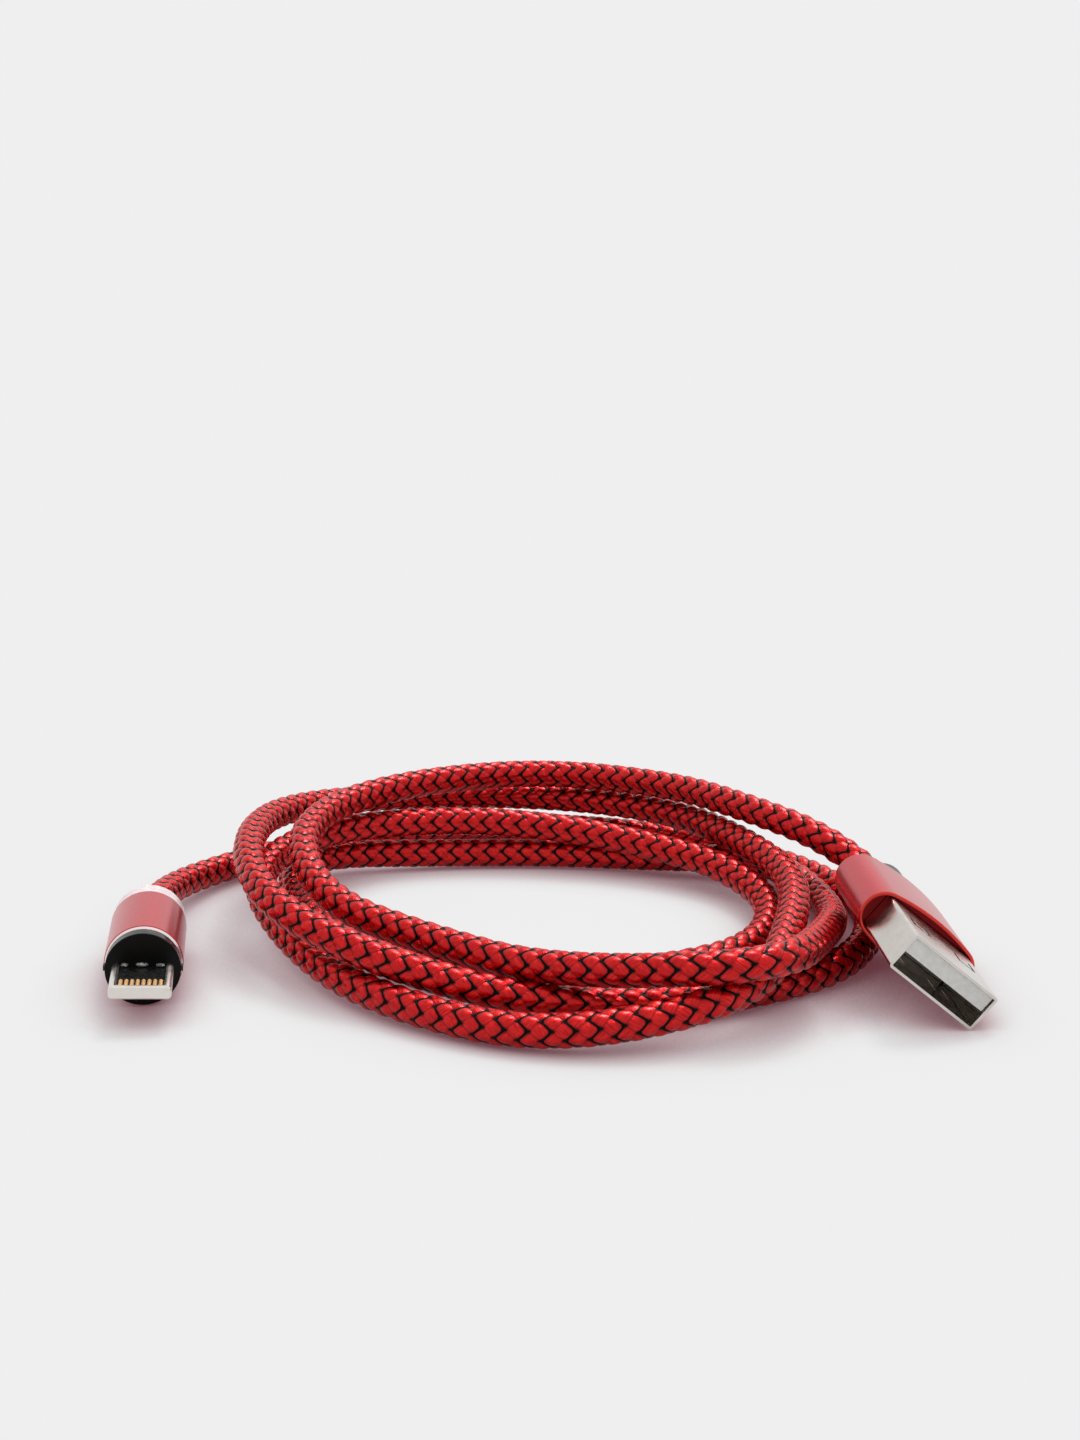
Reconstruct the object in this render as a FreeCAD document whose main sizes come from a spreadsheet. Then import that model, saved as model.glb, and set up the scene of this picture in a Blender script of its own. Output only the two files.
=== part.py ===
"""Magnetic charging cable, lying on a table with its cord coiled up.

Millimetres, +Z up, standing on z = 0. The origin is on the table, under the middle of the two
plugs. +X runs from the phone plug to the computer plug, +Y runs to the back of the coil.
Each plug is modelled in a frame of its own, with its nose at zero and +X running back along its
axis, +Z its upper broad face, and is then laid down where it lies.
"""
import FreeCAD, Part
import os
import Sketcher
from math import degrees, pi, tan

from FreeCAD import Placement, Rotation, Vector

doc = FreeCAD.newDocument("charging_cable")
sheet = doc.addObject("Spreadsheet::Sheet", "Sizes")

# Driving sizes: every value is written here once and used everywhere by its name
SIZES = {
    # cord
    "cord_dia": 3.8,
    "cord_clearance": 0.05,
    "seat_gap": 0.05,
    "crimp_wall": 0.4,
    "wire_dia": 0.9,
    "wire_offset": 0.85,
    # computer plug: how it lies
    "plug_x": 43.67,
    "plug_y": -15.04,
    "plug_z": 5.68,
    "plug_yaw": 93.4,
    "plug_nose_down": -2.0,
    "plug_roll": 39.6,
    # computer plug: steel shell
    "shell_wide": 12.0,
    "shell_high": 4.5,
    "shell_wall": 0.3,
    "shell_corner": 0.4,
    "shell_long": 18.5,
    "latch_wide": 2.6,
    "latch_long": 2.6,
    "latch_front": 5.2,
    "latch_offset": 3.3,
    "latch_slit": 0.4,
    "latch_depth": 0.6,
    # computer plug: tongue and contacts
    "tongue_front": 0.3,
    "tongue_thick": 1.84,
    "tongue_side_gap": 0.15,
    "tongue_base": 11.9,
    "tongue_end": 17.5,
    "blade_wide": 1.0,
    "blade_thick": 0.2,
    "blade_power_front": 1.6,
    "blade_data_front": 2.6,
    "blade_end": 19.3,
    "blade_inner": 1.0,
    "blade_outer": 3.5,
    # computer plug: housing and what fills it
    "housing_front": 11.55,
    "housing_long": 13.15,
    "housing_wide": 15.8,
    "housing_over_shell": 1.15,
    "housing_end_less": 0.53,
    "housing_wall": 0.35,
    "rim_bevel": 0.15,
    "collar_recess": 1.1,
    "collar_long": 3.2,
    "bung_front": 23.4,
    "bung_recess": 0.3,
    "boss_dia": 6.0,
    "boss_proud": 5.7,
    "boss_bevel": 0.3,
    "boss_flare": 0.3,
    "plug_crimp_long": 1.3,
    # phone plug: how it lies
    "head_x": -41.94,
    "head_y": -14.61,
    "head_yaw": 98.5,
    "tip_roll": 3.2,
    # phone plug: the tip that stays in the phone
    "tip_long": 7.3,
    "tip_wide": 6.7,
    "tip_thick": 1.5,
    "tip_corner": 0.5,
    "tip_bevel": 0.15,
    "tip_bar": 0.4,
    "tip_window": 5.1,
    "tip_slope": 0.2,
    "carrier_thick": 0.7,
    "pad_wide": 0.44,
    "pad_long": 2.2,
    "pad_margin": 0.195,
    "pad_count": 8,
    "disc_dia": 8.3,
    "disc_thick": 1.55,
    "ear_reach": 4.35,
    "ear_high": 0.6,
    "board_dia": 4.6,
    "board_thick": 0.4,
    "armature_thick": 0.8,
    "armature_bore": 5.2,
    "turning_gap": 0.1,
    "stud_dia": 2.0,
    # phone plug: the magnetic head on the cord
    "sleeve_dia": 8.72,
    "sleeve_wall": 0.4,
    "sleeve_long": 12.85,
    "sleeve_stand_off": 1.85,
    "sleeve_chamfer": 0.3,
    "magnet_bore": 5.4,
    "magnet_long": 3.6,
    "contact_wall": 0.4,
    "pin_dia": 1.6,
    "pin_nose": 0.3,
    "pin_long": 2.4,
    "pin_travel": 0.35,
    "barrel_front": 0.8,
    "barrel_dia": 2.6,
    "head_board_thick": 0.8,
    "light_thick": 0.6,
    "light_wide": 0.8,
    "light_long": 1.6,
    "light_offset": 2.7,
    "head_cord_start": 17.4,
    "head_crimp_long": 1.8,
    "glow_seat": 1.6,
    "glow_out": 3.3,
    "glow_front_dia": 8.5,
    "glow_rear_dia": 8.3,
    "glow_bevel": 0.4,
    # coil of cord
    "coil_left": -35.7,
    "coil_front": -21.4,
    "coil_wide": 79.2,
    "coil_deep": 84.4,
    "coil_round": 37.0,
    "eye_left": -24.4,
    "eye_front": -2.4,
    "eye_wide": 50.4,
    "eye_deep": 44.6,
    "eye_round": 20.0,
    "coil_height": 12.5,
    "coil_rise": 0.06,
    "coil_fall": 0.1,
    "coil_clearance": 0.5,
    "low_strand_x": 36.1,
    "low_strand_high": 4.0,
}
for row, (alias, value) in enumerate(SIZES.items(), start=1):
    sheet.set(f"A{row}", alias.replace("_", " "))
    sheet.set(f"B{row}", str(value))
    sheet.setAlias(f"B{row}", alias)
sums = doc.addObject("App::FeaturePython", "Sums")
sums.addProperty("App::PropertyFloat", "Value")
doc.recompute()

# Where each group of pieces lies: place, then yaw, nose-down pitch and roll
FRAMES = {
    "plug": ("plug_x", "plug_y", "plug_z", "plug_yaw", "plug_nose_down", "plug_roll"),
    "head": ("head_x", "head_y", "sleeve_dia / 2", "head_yaw", "0", "0"),
    "tip": ("head_x", "head_y", "sleeve_dia / 2", "head_yaw", "0", "tip_roll"),
    "table": ("0", "0", "0", "0", "0", "0"),
}
nodes = {}


def sized(words):
    """Write bare sheet names as the document's expressions want them."""
    parts = words.replace("(", " ( ").replace(")", " ) ").split()
    return " ".join("Sizes." + part if part in SIZES else part for part in parts)


def number(words):
    """Work an expression over the sheet out in numbers."""
    sums.setExpression("Value", sized(words))
    sums.recompute()
    return sums.Value


def bind(thing, **properties):
    """Tie properties of an object to expressions over the sheet."""
    for name, words in properties.items():
        thing.setExpression(name.replace("_at_", "."), sized(words))
    return thing


def laid(name, frame, *things):
    """Shapes from a plug's own frame, laid down where the plug lies."""
    group = doc.addObject("Part::Compound", name)
    group.Links = list(things)
    x, y, z, yaw, pitch, roll = [sized(words) for words in FRAMES[frame]]
    placement = f"placement(vector({x}; {y}; {z}); rotation({yaw}; {pitch}; {roll}))"
    group.setExpression("Placement", placement)
    return group


def keep(node, frame, *things):
    """A finished piece, under the name that its file gets."""
    nodes[node] = laid(node, frame, *things)
    nodes[node].Label = node


def box(name, front, long, wide, high, side="0", up="0"):
    """A block whose front face is at `front`, centred at `side` and `up`."""
    return bind(
        doc.addObject("Part::Box", name),
        Length=long,
        Width=wide,
        Height=high,
        Placement_at_Base_at_x=front,
        Placement_at_Base_at_y=f"{side} - ({wide}) / 2",
        Placement_at_Base_at_z=f"{up} - ({high}) / 2",
    )


def rod(name, front, long, dia, side="0", up="0"):
    """A round bar along the plug's axis."""
    bar = doc.addObject("Part::Cylinder", name)
    bar.Placement = Placement(Vector(), Rotation(Vector(0, 1, 0), 90))
    return bind(
        bar,
        Radius=f"({dia}) / 2",
        Height=long,
        Placement_at_Base_at_x=front,
        Placement_at_Base_at_y=side,
        Placement_at_Base_at_z=up,
    )


def strand(name, start, end, dia):
    """A round wire between two points."""
    wire = doc.addObject("Part::Cylinder", name)
    wire.Placement = Placement(start, Rotation(Vector(0, 0, 1), end - start))
    wire.Height = (end - start).Length
    return bind(wire, Radius=f"({dia}) / 2")


def fuse(name, *things):
    """Several shapes made one."""
    result = doc.addObject("Part::MultiFuse", name)
    result.Shapes = list(things)
    return result


def cut(name, base, *tools):
    """The base with every tool taken out of it."""
    result = doc.addObject("Part::Cut", name)
    result.Base = base
    result.Tool = tools[0] if len(tools) == 1 else fuse(name + "_tools", *tools)
    return result


def softened(name, base, radius, chosen, kind="Part::Fillet"):
    """The base with a fillet, or a chamfer, on the edges that `chosen` picks."""
    doc.recompute()
    result = doc.addObject(kind, name)
    result.Base = base
    wanted = [i for i, edge in enumerate(base.Shape.Edges, start=1) if chosen(edge)]
    result.Edges = [(i, number(radius), number(radius)) for i in wanted]
    doc.recompute()
    return result


def runs_along(edge):
    """Whether an edge is a straight one that runs along the plug."""
    ends = [vertex.Point for vertex in edge.Vertexes]
    if edge.Curve.TypeId != "Part::GeomLine" or len(ends) != 2:
        return False
    return abs((ends[1] - ends[0]).normalize().x) > 0.999


def lies_at(*places):
    """A test for edges that lie in a plane across the plug, at one of these places."""
    wanted = [number(place) for place in places]

    def chosen(edge):
        box_of = edge.BoundBox
        return any(abs(box_of.XMin - x) + abs(box_of.XMax - x) < 0.001 for x in wanted)

    return chosen


def slab(name, front, long, wide, high, corner):
    """A block with its four long edges rounded."""
    return softened(name, box(name + "_block", front, long, wide, high), corner, runs_along)


def oval(name, front, long, inset="0"):
    """A length of the housing's oval section, smaller all round by `inset`.

    Two large cylinders crown the broad faces, and fillets round the two narrow ends.
    """
    half_high = f"{housing_high} / 2"
    flat = f"(housing_wide / 2 - {housing_end_round})"
    bulge = f"({housing_high} - 2 * {housing_end_round})"
    crown = f"({flat} ^ 2 + ({half_high}) ^ 2 - {housing_end_round} ^ 2) / {bulge}"
    sink = f"({crown} - {half_high})"
    wide = f"housing_wide - 2 * ({inset})"
    dia = f"2 * ({crown} - ({inset}))"
    lens = doc.addObject("Part::MultiCommon", name + "_lens")
    lens.Shapes = [
        rod(name + "_crown", front, long, dia, "0", f"0 - {sink}"),
        rod(name + "_keel", front, long, dia, "0", sink),
        box(name + "_block", front, long, wide, f"2 * {housing_high}"),
    ]
    return softened(name, lens, f"0.98 * ({housing_end_round} - ({inset}))", runs_along)


def turned(name, *points):
    """A piece turned about the axis, from its (place along the axis, radius) corners."""
    body = doc.addObject("PartDesign::Body", name)
    sketch = body.newObject("Sketcher::SketchObject", name + "_profile")
    planes = {plane.Role: plane for plane in body.Origin.OriginFeatures}
    sketch.AttachmentSupport = [(planes["XY_Plane"], "")]
    sketch.MapMode = "FlatFace"
    corners = [Vector(number(along), number(radius), 0) for along, radius in points]
    for i, corner in enumerate(corners):
        sketch.addGeometry(Part.LineSegment(corner, corners[(i + 1) % len(corners)]), False)
    for i in range(len(corners)):
        sketch.addConstraint(Sketcher.Constraint("Coincident", i, 2, (i + 1) % len(corners), 1))
    for i, (along, radius) in enumerate(points):
        across = sketch.addConstraint(Sketcher.Constraint("DistanceX", -1, 1, i, 1, corners[i].x))
        sketch.setExpression(f"Constraints[{across}]", sized(along))
        if corners[i].y == 0:
            sketch.addConstraint(Sketcher.Constraint("PointOnObject", i, 1, -1))
            continue
        up = sketch.addConstraint(Sketcher.Constraint("DistanceY", -1, 1, i, 1, corners[i].y))
        sketch.setExpression(f"Constraints[{up}]", sized(radius))
    turn = body.newObject("PartDesign::Revolution", name + "_turn")
    turn.Profile = sketch
    turn.ReferenceAxis = (sketch, ["H_Axis"])
    turn.Angle = 360
    return body


def ring(name, front, long, outer_dia, inner_dia):
    """A turned ring of square section."""
    rear = f"{front} + {long}"
    outer = f"({outer_dia}) / 2"
    inner = f"({inner_dia}) / 2"
    return turned(name, (front, inner), (rear, inner), (rear, outer), (front, outer))


# Sizes that several pieces share
cord_hole = "cord_dia + 2 * cord_clearance"
crimp_dia = "cord_dia + 2 * cord_clearance + 2 * crimp_wall"
wire_hole = "wire_dia + 2 * seat_gap"
housing_high = "(shell_high + 2 * housing_over_shell)"
housing_end_round = f"({housing_high} / 2 - housing_end_less)"
pad_pitch = "(tip_window - pad_wide - 2 * pad_margin) / (pad_count - 1)"

# Computer plug: the steel shell, a folded tube with two spring tabs in each broad face
shell_outside = slab("shell_outside", "0", "shell_long", "shell_wide", "shell_high", "shell_corner")
shell_inside = slab(
    "shell_inside",
    "0 - 1",
    "shell_long + 2",
    "shell_wide - 2 * shell_wall",
    "shell_high - 2 * shell_wall",
    "shell_corner - shell_wall",
)
latch_slits = []
latch_rooms = []
for hand, side in (("left", "latch_offset"), ("right", "0 - latch_offset")):
    window = box(f"{hand}_window", "latch_front", "latch_long", "latch_wide", "shell_high + 2", side)
    tab_wide = "latch_wide - 2 * latch_slit"
    tab = box(f"{hand}_tab", "latch_front + latch_slit", "latch_long", tab_wide, "shell_high + 3", side)
    latch_slits.append(cut(f"{hand}_slit", window, tab))
    latch_rooms.append(
        box(
            f"{hand}_latch_room",
            "latch_front - latch_slit",
            "latch_long + 2 * latch_slit",
            "latch_wide + 2 * latch_slit",
            "2 * latch_depth",
            side,
            "shell_high / 2 - shell_wall - seat_gap",
        )
    )
keep("usb_shell", "plug", cut("shell", shell_outside, shell_inside, *latch_slits))

# Computer plug: the pale tongue's bar, and behind it the block that fills the shell
tongue_top = "(shell_high / 2 - shell_wall - seat_gap)"
tongue_low = f"({tongue_top} - tongue_thick)"
tongue_wide = "shell_wide - 2 * shell_wall - 2 * tongue_side_gap"
tongue_bar = box(
    "tongue_bar",
    "tongue_front",
    "tongue_end - tongue_front",
    tongue_wide,
    "tongue_thick",
    "0",
    f"{tongue_top} - tongue_thick / 2",
)
block_long = "tongue_end - tongue_base"
tongue_block = box("tongue_block", "tongue_base", block_long, tongue_wide, f"2 * {tongue_top}")

# Computer plug: four gold blades let into the tongue; the two outer ones reach further forward
BLADES = {
    "usb_contact_power": ("blade_outer", "blade_power_front"),
    "usb_contact_data_minus": ("blade_inner", "blade_data_front"),
    "usb_contact_data_plus": ("0 - blade_inner", "blade_data_front"),
    "usb_contact_ground": ("0 - blade_outer", "blade_power_front"),
}
blades = []
for node, (side, front) in BLADES.items():
    long = f"blade_end - {front}"
    blades.append(box(node + "_blade", front, long, "blade_wide", "blade_thick", side, tongue_low))
    keep(node, "plug", blades[-1])
tongue_all = fuse("tongue_all", tongue_bar, tongue_block)
keep("usb_tongue", "plug", cut("tongue", tongue_all, *blades, *latch_rooms))

# Computer plug: the oval aluminium housing, a tube open at both ends
housing_end = "housing_front + housing_long"
housing_fit = "housing_wall + seat_gap"
housing_outside = softened(
    "housing_outside",
    oval("housing_oval", "housing_front", "housing_long"),
    "rim_bevel",
    lies_at("housing_front", housing_end),
    "Part::Chamfer",
)
housing_bore = oval("housing_bore", "housing_front - 1", "housing_long + 2", "housing_wall")
keep("usb_housing", "plug", cut("housing", housing_outside, housing_bore))

# Computer plug: the collar that holds the shell in the housing's mouth
collar_block = oval("collar_block", "housing_front + collar_recess", "collar_long", housing_fit)
shell_room = slab(
    "shell_room",
    "0",
    "shell_long + seat_gap",
    "shell_wide + 2 * seat_gap",
    "shell_high + 2 * seat_gap",
    "shell_corner + seat_gap",
)
keep("usb_collar", "plug", cut("collar", collar_block, shell_room))

# Computer plug: the cord's end in its crimp, and the two wires from it to the outer blades
plug_cord_start = "bung_front - plug_crimp_long"
keep(
    "usb_crimp",
    "plug",
    ring("plug_crimp", plug_cord_start, "plug_crimp_long - seat_gap", crimp_dia, cord_hole),
)
wire_front = number("blade_end + wire_dia / 2")
wire_rear = number(f"{plug_cord_start} - wire_dia / 2")
plug_wire_rooms = []
for node, side in (("usb_wire_power", 1), ("usb_wire_ground", -1)):
    start = Vector(wire_front, side * number("blade_outer"), number(tongue_low))
    end = Vector(wire_rear, side * number("wire_offset"), 0)
    keep(node, "plug", strand(node + "_strand", start, end, "wire_dia"))
    plug_wire_rooms.append(strand(node + "_room", start, end, wire_hole))

# Computer plug: the white inner mould behind the shell, cast round all that
mould_front = "housing_front + collar_recess + collar_long"
plug_mould = cut(
    "plug_mould",
    oval("plug_mould_block", mould_front, f"bung_front - ({mould_front})", housing_fit),
    shell_room,
    box(
        "blade_room",
        "shell_long",
        "blade_end - shell_long + wire_dia",
        "2 * blade_outer + blade_wide + 4 * seat_gap",
        "wire_dia + 4 * seat_gap",
        "0",
        tongue_low,
    ),
    *plug_wire_rooms,
    rod(
        "plug_crimp_room",
        f"{plug_cord_start} - wire_dia",
        "plug_crimp_long + 2",
        f"{crimp_dia} + 2 * seat_gap",
    ),
)
keep("usb_inner_mould", "plug", plug_mould)

# Computer plug: the black bung that closes the rear, and its round boss that lets the cord out
bung_face = f"{housing_end} - bung_recess"
boss_end = f"{housing_end} + boss_proud"
bung_plate = cut(
    "bung_plate",
    oval("bung_block", "bung_front", f"{bung_face} - bung_front", housing_fit),
    rod("bung_hole", "bung_front - 1", "boss_proud + 5", cord_hole),
)
boss = turned(
    "boss",
    (f"{bung_face} - seat_gap", f"({cord_hole}) / 2"),
    (f"{boss_end} - boss_flare", f"({cord_hole}) / 2"),
    (boss_end, f"({cord_hole}) / 2 + boss_flare"),
    (boss_end, "boss_dia / 2 - boss_bevel"),
    (f"{boss_end} - boss_bevel", "boss_dia / 2"),
    (f"{bung_face} - seat_gap", "boss_dia / 2"),
)
keep("usb_rear_bung", "plug", fuse("bung", bung_plate, boss))

# Phone tip: the metal frame, a flat plug with a window right through it
tip_slab = slab("tip_slab", "0", "tip_long", "tip_wide", "tip_thick", "tip_corner")
tip_window = box("tip_window", "tip_bar", "tip_long", "tip_window", "tip_thick + 2")
tip_nose = softened("tip_nose", tip_slab, "tip_bevel", lies_at("0"), "Part::Chamfer")
tip_pierced = cut("tip_pierced", tip_nose, tip_window)


def beside_window(edge):
    """Whether an edge runs along a side of the tip's window."""
    return runs_along(edge) and abs(abs(edge.BoundBox.Center.y) - number("tip_window / 2")) < 0.001


tip_sloped = softened("tip_sloped", tip_pierced, "tip_slope", beside_window, "Part::Chamfer")
keep("tip_frame", "tip", tip_sloped)

# Phone tip: the black carrier in the window, with a row of eight gold pads on each face
carrier = box(
    "carrier",
    "tip_bar + seat_gap",
    "tip_long - tip_bar - seat_gap",
    "tip_window - 2 * seat_gap",
    "carrier_thick",
)
keep("tip_carrier", "tip", carrier)
for node, face_side in (("tip_pads_top", 1), ("tip_pads_bottom", -1)):
    pads = []
    for i in range(int(number("pad_count"))):
        side = f"{pad_pitch} * ({i} - (pad_count - 1) / 2)"
        up = f"{face_side} * carrier_thick / 2"
        pad = rod(f"{node}_{i}", "tip_bar + 3 * seat_gap", "pad_long", "pad_wide", side, up)
        pad.Angle = 180
        pad.Placement.Rotation = pad.Placement.Rotation * Rotation(Vector(0, 0, 1), 90 * face_side)
        pads.append(pad)
    keep(node, "tip", *pads)

# Phone tip: the black disc that the frame stands on, with a small ear at each side
disc_rear = "tip_long + disc_thick"
board_room = "board_thick + 2 * seat_gap"
disc_ring = turned(
    "disc_ring",
    ("tip_long", "0"),
    ("tip_long", "disc_dia / 2"),
    (disc_rear, "disc_dia / 2"),
    (disc_rear, "board_dia / 2 + seat_gap"),
    (f"{disc_rear} - ({board_room})", "board_dia / 2 + seat_gap"),
    (f"{disc_rear} - ({board_room})", "0"),
)
ear_bar = box("ear_bar", "tip_long + disc_thick / 4", "disc_thick / 2", "2 * ear_reach", "ear_high")
ear_room = rod("ear_room", "tip_long - 1", "disc_thick + 2", "disc_dia - 1")
keep("tip_disc", "tip", fuse("disc", disc_ring, cut("ears", ear_bar, ear_room)))

# Phone tip: the small board in the disc, the backing behind it and the centre stud
tip_board = rod("tip_board_disc", f"{disc_rear} - board_thick - seat_gap", "board_thick", "board_dia")
keep("tip_board", "tip", tip_board)
armature_front = f"{disc_rear} + seat_gap"
armature_rear = f"{armature_front} + armature_thick"
backing = ring(
    "backing",
    disc_rear,
    "armature_thick - turning_gap / 2",
    "armature_bore - 2 * turning_gap",
    "stud_dia + 2 * seat_gap",
)
keep("tip_backing", "tip", backing)
keep("tip_stud", "tip", rod("stud", disc_rear, "armature_thick + seat_gap", "stud_dia"))

# The steel ring on the tip, which the head's magnet holds
sleeve_bore = "sleeve_dia - 2 * sleeve_wall"
armature_dia = f"{sleeve_bore} - 2 * turning_gap"
armature = ring("armature", armature_front, "armature_thick", armature_dia, "armature_bore")
keep("tip_armature", "head", armature)

# Magnetic head: the round aluminium sleeve, with a bright chamfer at its mouth
sleeve_front = "tip_long + sleeve_stand_off"
sleeve_rear = f"{sleeve_front} + sleeve_long"
sleeve = turned(
    "sleeve",
    (sleeve_front, f"({sleeve_bore}) / 2"),
    (sleeve_rear, f"({sleeve_bore}) / 2"),
    (sleeve_rear, "sleeve_dia / 2 - sleeve_chamfer / 2"),
    (f"{sleeve_rear} - sleeve_chamfer / 2", "sleeve_dia / 2"),
    (f"{sleeve_front} + sleeve_chamfer", "sleeve_dia / 2"),
    (sleeve_front, "sleeve_dia / 2 - sleeve_chamfer"),
)
keep("head_sleeve", "head", sleeve)

# Magnetic head: magnet, ring contact, insulating core and pin barrel, one inside the other
face = f"{armature_rear} + seat_gap"
core_rear = f"{face} + magnet_long"
inside_sleeve = f"{sleeve_bore} - 2 * seat_gap"
contact_dia = "magnet_bore - 2 * seat_gap"
core_dia = f"{contact_dia} - 2 * contact_wall - 2 * seat_gap"
pin_hole = "pin_dia + 2 * seat_gap"
keep("head_magnet", "head", ring("magnet", face, "magnet_long", inside_sleeve, "magnet_bore"))
keep(
    "head_ring_contact",
    "head",
    ring("ring_contact", face, "magnet_long", contact_dia, f"{contact_dia} - 2 * contact_wall"),
)
core = turned(
    "core",
    (f"{face} + 3 * seat_gap", f"({pin_hole}) / 2"),
    (f"{face} + barrel_front", f"({pin_hole}) / 2"),
    (f"{face} + barrel_front", "barrel_dia / 2 + seat_gap"),
    (core_rear, "barrel_dia / 2 + seat_gap"),
    (core_rear, f"({core_dia}) / 2"),
    (f"{face} + 3 * seat_gap", f"({core_dia}) / 2"),
)
keep("head_core", "head", core)
pin_room_end = f"{face} + pin_long + pin_travel + seat_gap"
barrel = turned(
    "barrel",
    (f"{face} + barrel_front + seat_gap", f"({pin_hole}) / 2"),
    (pin_room_end, f"({pin_hole}) / 2"),
    (pin_room_end, "0"),
    (core_rear, "0"),
    (core_rear, "barrel_dia / 2"),
    (f"{face} + barrel_front + seat_gap", "barrel_dia / 2"),
)
keep("head_pin_barrel", "head", barrel)

# Magnetic head: the sprung centre pin, which the tip's stud pushes back
pin = turned(
    "pin",
    (face, "0"),
    (face, "pin_dia / 2 - pin_nose"),
    (f"{face} + pin_nose", "pin_dia / 2"),
    (f"{face} + pin_long", "pin_dia / 2"),
    (f"{face} + pin_long", "0"),
)
keep("head_centre_pin", "head", pin)

# Magnetic head: circuit board, indicator light, crimp and wires
head_board_front = f"{core_rear} + seat_gap"
head_board_rear = f"{head_board_front} + head_board_thick"
head_board = rod("head_board_disc", head_board_front, "head_board_thick", inside_sleeve)
keep("head_board", "head", head_board)
light = box("light", head_board_rear, "light_thick", "light_wide", "light_long", "light_offset")
keep("head_light", "head", light)
head_crimp = ring("head_crimp_ring", "head_cord_start", "head_crimp_long", crimp_dia, cord_hole)
keep("head_crimp", "head", head_crimp)
head_wire_long = f"head_cord_start - ({head_board_rear}) - seat_gap"
head_wire_rooms = []
for node, side in (("head_wire_power", "wire_offset"), ("head_wire_ground", "0 - wire_offset")):
    keep(node, "head", rod(node + "_rod", head_board_rear, head_wire_long, "wire_dia", side))
    room = rod(node + "_room", f"{head_board_rear} - 1", f"{head_wire_long} + 1", wire_hole, side)
    head_wire_rooms.append(room)

# Magnetic head: the inner mould that fills the sleeve round board, wires and crimp
glow_front = f"{sleeve_rear} - glow_seat"
head_mould = cut(
    "head_mould",
    rod("head_mould_block", head_board_rear, f"{glow_front} - ({head_board_rear})", inside_sleeve),
    box(
        "light_room",
        head_board_rear,
        "light_thick + seat_gap",
        "light_wide + 2 * seat_gap",
        "light_long + 2 * seat_gap",
        "light_offset",
    ),
    *head_wire_rooms,
    rod("head_cord_room", "head_cord_start - wire_dia", "sleeve_long", cord_hole),
    rod(
        "head_crimp_room",
        "head_cord_start - seat_gap",
        "head_crimp_long + 2 * seat_gap",
        f"{crimp_dia} + 2 * seat_gap",
    ),
)
keep("head_inner_mould", "head", head_mould)

# Magnetic head: the clear ring behind the sleeve, which the light shines through
glow_end = f"{sleeve_rear} + glow_out"
glow = turned(
    "glow",
    (f"{glow_front} + seat_gap", f"({cord_hole}) / 2"),
    (glow_end, f"({cord_hole}) / 2"),
    (glow_end, "glow_rear_dia / 2 - glow_bevel"),
    (f"{glow_end} - glow_bevel", "glow_rear_dia / 2"),
    (f"{sleeve_rear} + seat_gap", "glow_front_dia / 2"),
    (f"{sleeve_rear} + seat_gap", f"({inside_sleeve}) / 2"),
    (f"{glow_front} + seat_gap", f"({inside_sleeve}) / 2"),
)
keep("head_glow_ring", "head", glow)


# Cord: plain round tubes along straight runs joined by arcs
def along_plug(frame, *places):
    """Points on a plug's axis, where the plug lies."""
    x, y, z, yaw, pitch, roll = [number(words) for words in FRAMES[frame]]
    lie = Placement(Vector(x, y, z), Rotation(yaw, pitch, roll))
    return [lie.multVec(Vector(number(place), 0, 0)) for place in places]


def route(name, points):
    """A wire through the points, each corner eased by as large an arc as its runs allow."""
    edges = []
    last = points[0]
    for before, corner, after in zip(points, points[1:], points[2:]):
        coming = (corner - before).normalize()
        going = (after - corner).normalize()
        turn = coming.getAngle(going)
        reach = 0.45 * min((corner - before).Length, (after - corner).Length)
        print(f"{name}: turn {degrees(turn):.0f} degrees, radius {reach / tan(turn / 2):.1f}")
        enter = corner - coming * reach
        leave = corner + going * reach
        middle = corner + (going - coming).normalize() * reach * tan(turn / 4)
        edges.append(Part.LineSegment(last, enter).toShape())
        edges.append(Part.Arc(enter, middle, leave).toShape())
        last = leave
    edges.append(Part.LineSegment(last, points[-1]).toShape())
    path = doc.addObject("Part::Feature", name)
    path.Shape = Part.Wire(edges)
    return path


def tube(name, points):
    """A tube of the cord's size along the route."""
    path = route(name + "_route", points)
    section = bind(doc.addObject("Part::Circle", name + "_section"), Radius="cord_dia / 2")
    section.Placement = Placement(points[0], Rotation(Vector(0, 0, 1), points[1] - points[0]))
    sweep = doc.addObject("Part::Sweep", name)
    sweep.Sections = [section]
    sweep.Spine = (path, [f"Edge{i + 1}" for i in range(len(path.Shape.Edges))])
    sweep.Solid = True
    doc.recompute()
    expected = path.Shape.Length * pi * number("cord_dia") ** 2 / 4
    print(f"{name}: volume {sweep.Shape.Volume:.1f}, section times length {expected:.1f}")
    return sweep


usb_lead_points = along_plug("plug", plug_cord_start, f"{boss_end} + 5.5") + [
    Vector(31.1, 31.4, 10.9),
    Vector(21.7, 44.1, 9.9),
]
phone_lead_points = along_plug("head", "head_cord_start", f"{sleeve_rear} + glow_out + 5") + [
    Vector(-45.9, 27.5, 2.9),
    Vector(-40.0, 39.6, 1.92),
    Vector(-28.2, 50.0, 1.92),
    Vector(-14.4, 56.6, 1.92),
]


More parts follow.
